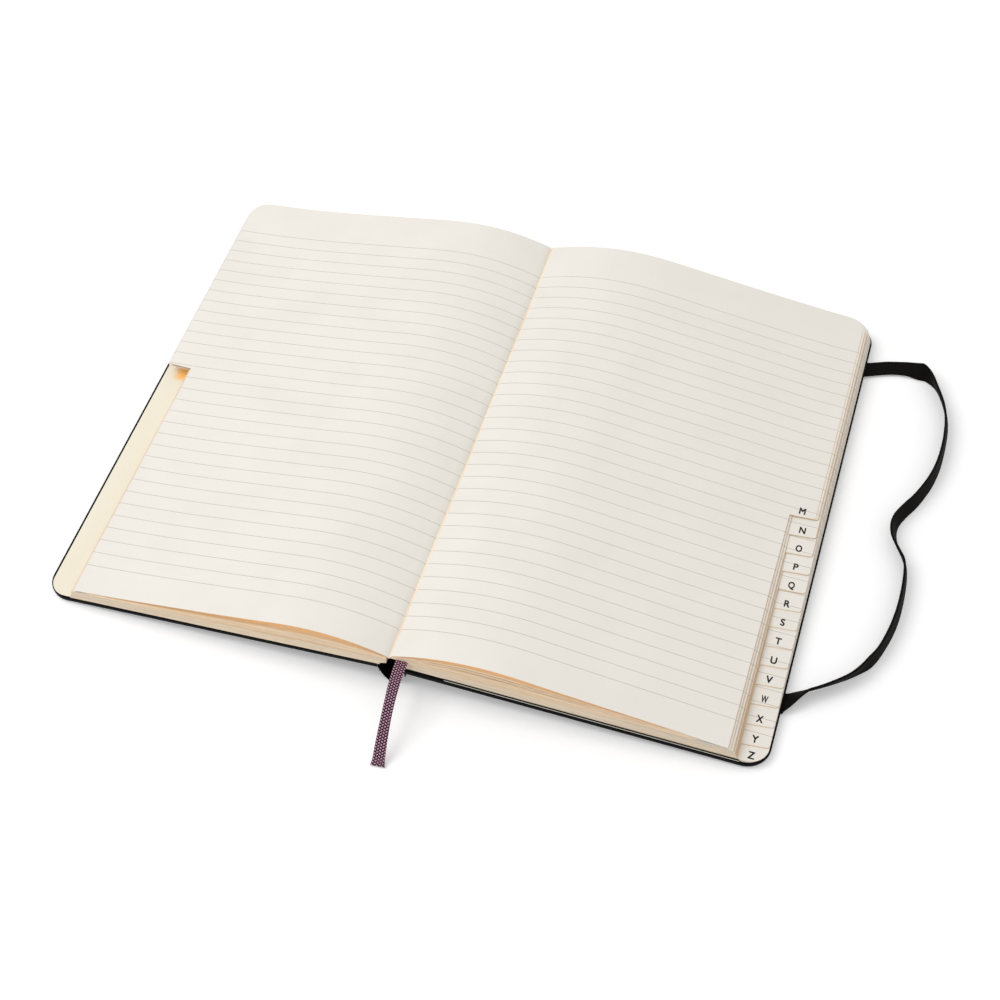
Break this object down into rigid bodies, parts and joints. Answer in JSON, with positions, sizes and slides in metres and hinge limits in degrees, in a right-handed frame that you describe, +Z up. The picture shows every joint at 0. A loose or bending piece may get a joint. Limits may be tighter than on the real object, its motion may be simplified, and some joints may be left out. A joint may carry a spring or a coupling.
{
  "type": "address book",
  "caption": "Open hard-cover address book with a stepped thumb index, ruled leaves, elastic closure, ribbon marker and an expanding pocket inside the back cover.",
  "frame": {"origin": "bottom centre of the open book, on the table midway between the two fore-edges", "axes": "+X across the spread towards the lettered tabs of M to Z, +Y up the page towards the head, +Z up"},
  "size_m": [0.3082, 0.2443, 0.022],
  "materials": {
    "board": "grey binder's board",
    "cover": "black grained covering, satin",
    "endpaper": "pale yellow, matt",
    "leaf": "ivory, matt, grey ruling",
    "lining": "black open weave",
    "pocket_card": "ivory card, matt",
    "gusset": "black book cloth",
    "ribbon": "plum and pink weave",
    "elastic": "black flat braid"
  },
  "bodies": {
    "spine": {"spine_skin": "cover"},
    "front_cover": {"front_board": "board", "front_skin": "cover", "front_pastedown": "endpaper", "front_flyleaf": "endpaper", "mull_front": "lining", "open_leaf_left": "leaf", "section_a": "leaf", "section_b": "leaf", "section_c": "leaf", "section_d": "leaf", "section_e": "leaf", "section_f": "leaf", "section_g": "leaf", "section_h": "leaf", "section_i": "leaf", "section_j": "leaf", "section_k": "leaf", "section_l": "leaf"},
    "back_cover": {"back_board": "board", "back_skin": "cover", "back_pastedown": "endpaper", "pocket_back": "pocket_card", "pocket_gusset_head": "gusset", "pocket_gusset_tail": "gusset", "mull_back": "lining", "elastic_anchor_head": "elastic", "elastic_anchor_tail": "elastic"},
    "leaf_m": {"section_m": "leaf", "open_leaf_right": "leaf", "ribbon_inside": "ribbon"},
    "leaf_n": {"section_n": "leaf"},
    "leaf_o": {"section_o": "leaf"},
    "leaf_p": {"section_p": "leaf"},
    "leaf_q": {"section_q": "leaf"},
    "leaf_r": {"section_r": "leaf"},
    "leaf_s": {"section_s": "leaf"},
    "leaf_t": {"section_t": "leaf"},
    "leaf_u": {"section_u": "leaf"},
    "leaf_v": {"section_v": "leaf"},
    "leaf_w": {"section_w": "leaf"},
    "leaf_x": {"section_x": "leaf"},
    "leaf_y": {"section_y": "leaf"},
    "leaf_z": {"section_z": "leaf"},
    "back_endleaf": {"back_flyleaf": "endpaper"},
    "pocket_flap": {"pocket_front": "pocket_card"},
    "ribbon_root": {"ribbon_exit": "ribbon"},
    "ribbon_end": {"ribbon_tail": "ribbon"},
    "elastic": {"elastic_band": "elastic"}
  },
  "joints": [
    {"name": "front_cover_hinge", "type": "hinge", "parent": "spine", "child": "front_cover", "pos_m": [-0.00486, 0, 0.0091], "axis": [0, 1, 0], "range_deg": [0, 93.04], "deforming": ["open_leaf_left"]},
    {"name": "back_cover_hinge", "type": "hinge", "parent": "spine", "child": "back_cover", "pos_m": [0.00486, 0, 0.0091], "axis": [0, -1, 0], "range_deg": [0, 93.04], "deforming": ["open_leaf_right"]},
    {"name": "leaf_turn", "type": "hinge", "parent": "back_cover", "child": "leaf_m", "pos_m": [0.00029, 0, 0.01535], "axis": [0, 1, 0], "range_deg": [-130, 0]},
    {"name": "leaf_turn_n", "type": "hinge", "parent": "back_cover", "child": "leaf_n", "pos_m": [0.00029, 0, 0.01535], "axis": [0, 1, 0], "range_deg": [-130, 0]},
    {"name": "leaf_turn_o", "type": "hinge", "parent": "back_cover", "child": "leaf_o", "pos_m": [0.00029, 0, 0.01535], "axis": [0, 1, 0], "range_deg": [-130, 0]},
    {"name": "leaf_turn_p", "type": "hinge", "parent": "back_cover", "child": "leaf_p", "pos_m": [0.00029, 0, 0.01535], "axis": [0, 1, 0], "range_deg": [-130, 0]},
    {"name": "leaf_turn_q", "type": "hinge", "parent": "back_cover", "child": "leaf_q", "pos_m": [0.00029, 0, 0.01535], "axis": [0, 1, 0], "range_deg": [-130, 0]},
    {"name": "leaf_turn_r", "type": "hinge", "parent": "back_cover", "child": "leaf_r", "pos_m": [0.00029, 0, 0.01535], "axis": [0, 1, 0], "range_deg": [-130, 0]},
    {"name": "leaf_turn_s", "type": "hinge", "parent": "back_cover", "child": "leaf_s", "pos_m": [0.00029, 0, 0.01535], "axis": [0, 1, 0], "range_deg": [-130, 0]},
    {"name": "leaf_turn_t", "type": "hinge", "parent": "back_cover", "child": "leaf_t", "pos_m": [0.00029, 0, 0.01535], "axis": [0, 1, 0], "range_deg": [-130, 0]},
    {"name": "leaf_turn_u", "type": "hinge", "parent": "back_cover", "child": "leaf_u", "pos_m": [0.00029, 0, 0.01535], "axis": [0, 1, 0], "range_deg": [-130, 0]},
    {"name": "leaf_turn_v", "type": "hinge", "parent": "back_cover", "child": "leaf_v", "pos_m": [0.00029, 0, 0.01535], "axis": [0, 1, 0], "range_deg": [-130, 0]},
    {"name": "leaf_turn_w", "type": "hinge", "parent": "back_cover", "child": "leaf_w", "pos_m": [0.00029, 0, 0.01535], "axis": [0, 1, 0], "range_deg": [-130, 0]},
    {"name": "leaf_turn_x", "type": "hinge", "parent": "back_cover", "child": "leaf_x", "pos_m": [0.00029, 0, 0.01535], "axis": [0, 1, 0], "range_deg": [-130, 0]},
    {"name": "leaf_turn_y", "type": "hinge", "parent": "back_cover", "child": "leaf_y", "pos_m": [0.00029, 0, 0.01535], "axis": [0, 1, 0], "range_deg": [-130, 0]},
    {"name": "leaf_turn_z", "type": "hinge", "parent": "back_cover", "child": "leaf_z", "pos_m": [0.00029, 0, 0.01535], "axis": [0, 1, 0], "range_deg": [-130, 0]},
    {"name": "endleaf_turn", "type": "hinge", "parent": "back_cover", "child": "back_endleaf", "pos_m": [0.00029, 0, 0.01535], "axis": [0, 1, 0], "range_deg": [-130, 0]},
    {"name": "pocket_open", "type": "hinge", "parent": "back_cover", "child": "pocket_flap", "pos_m": [0.1332, 0, 0.00266], "axis": [0, 1, 0], "range_deg": [0, 8], "deforming": ["pocket_gusset_head", "pocket_gusset_tail"]},
    {"name": "ribbon_hang", "type": "hinge", "parent": "leaf_m", "child": "ribbon_root", "pos_m": [0.00484, -0.1047, 0.01446], "axis": [0, 1, 0], "range_deg": [0, 130]},
    {"name": "ribbon_swing", "type": "hinge", "parent": "ribbon_root", "child": "ribbon_end", "pos_m": [0.00484, -0.1099, 0.01446], "axis": [0, 0, 1], "range_deg": [-35, 35]},
    {"name": "elastic_swing", "type": "hinge", "parent": "back_cover", "child": "elastic", "pos_m": [0.13577, 0, 0.0015], "axis": [0, -1, 0], "range_deg": [0, 85]}
  ],
  "couplings": [
    {"joint": "leaf_turn_n", "follows": "leaf_turn", "ratio": 0.9631},
    {"joint": "leaf_turn_o", "follows": "leaf_turn", "ratio": 0.9262},
    {"joint": "leaf_turn_p", "follows": "leaf_turn", "ratio": 0.8892},
    {"joint": "leaf_turn_q", "follows": "leaf_turn", "ratio": 0.8523},
    {"joint": "leaf_turn_r", "follows": "leaf_turn", "ratio": 0.8154},
    {"joint": "leaf_turn_s", "follows": "leaf_turn", "ratio": 0.7785},
    {"joint": "leaf_turn_t", "follows": "leaf_turn", "ratio": 0.7415},
    {"joint": "leaf_turn_u", "follows": "leaf_turn", "ratio": 0.7046},
    {"joint": "leaf_turn_v", "follows": "leaf_turn", "ratio": 0.6677},
    {"joint": "leaf_turn_w", "follows": "leaf_turn", "ratio": 0.6308},
    {"joint": "leaf_turn_x", "follows": "leaf_turn", "ratio": 0.5938},
    {"joint": "leaf_turn_y", "follows": "leaf_turn", "ratio": 0.5569},
    {"joint": "leaf_turn_z", "follows": "leaf_turn", "ratio": 0.52},
    {"joint": "endleaf_turn", "follows": "leaf_turn", "ratio": 0.5},
    {"joint": "pocket_open", "follows": "leaf_turn", "ratio": -0.06},
    {"joint": "ribbon_hang", "follows": "leaf_turn", "ratio": -1}
  ]
}
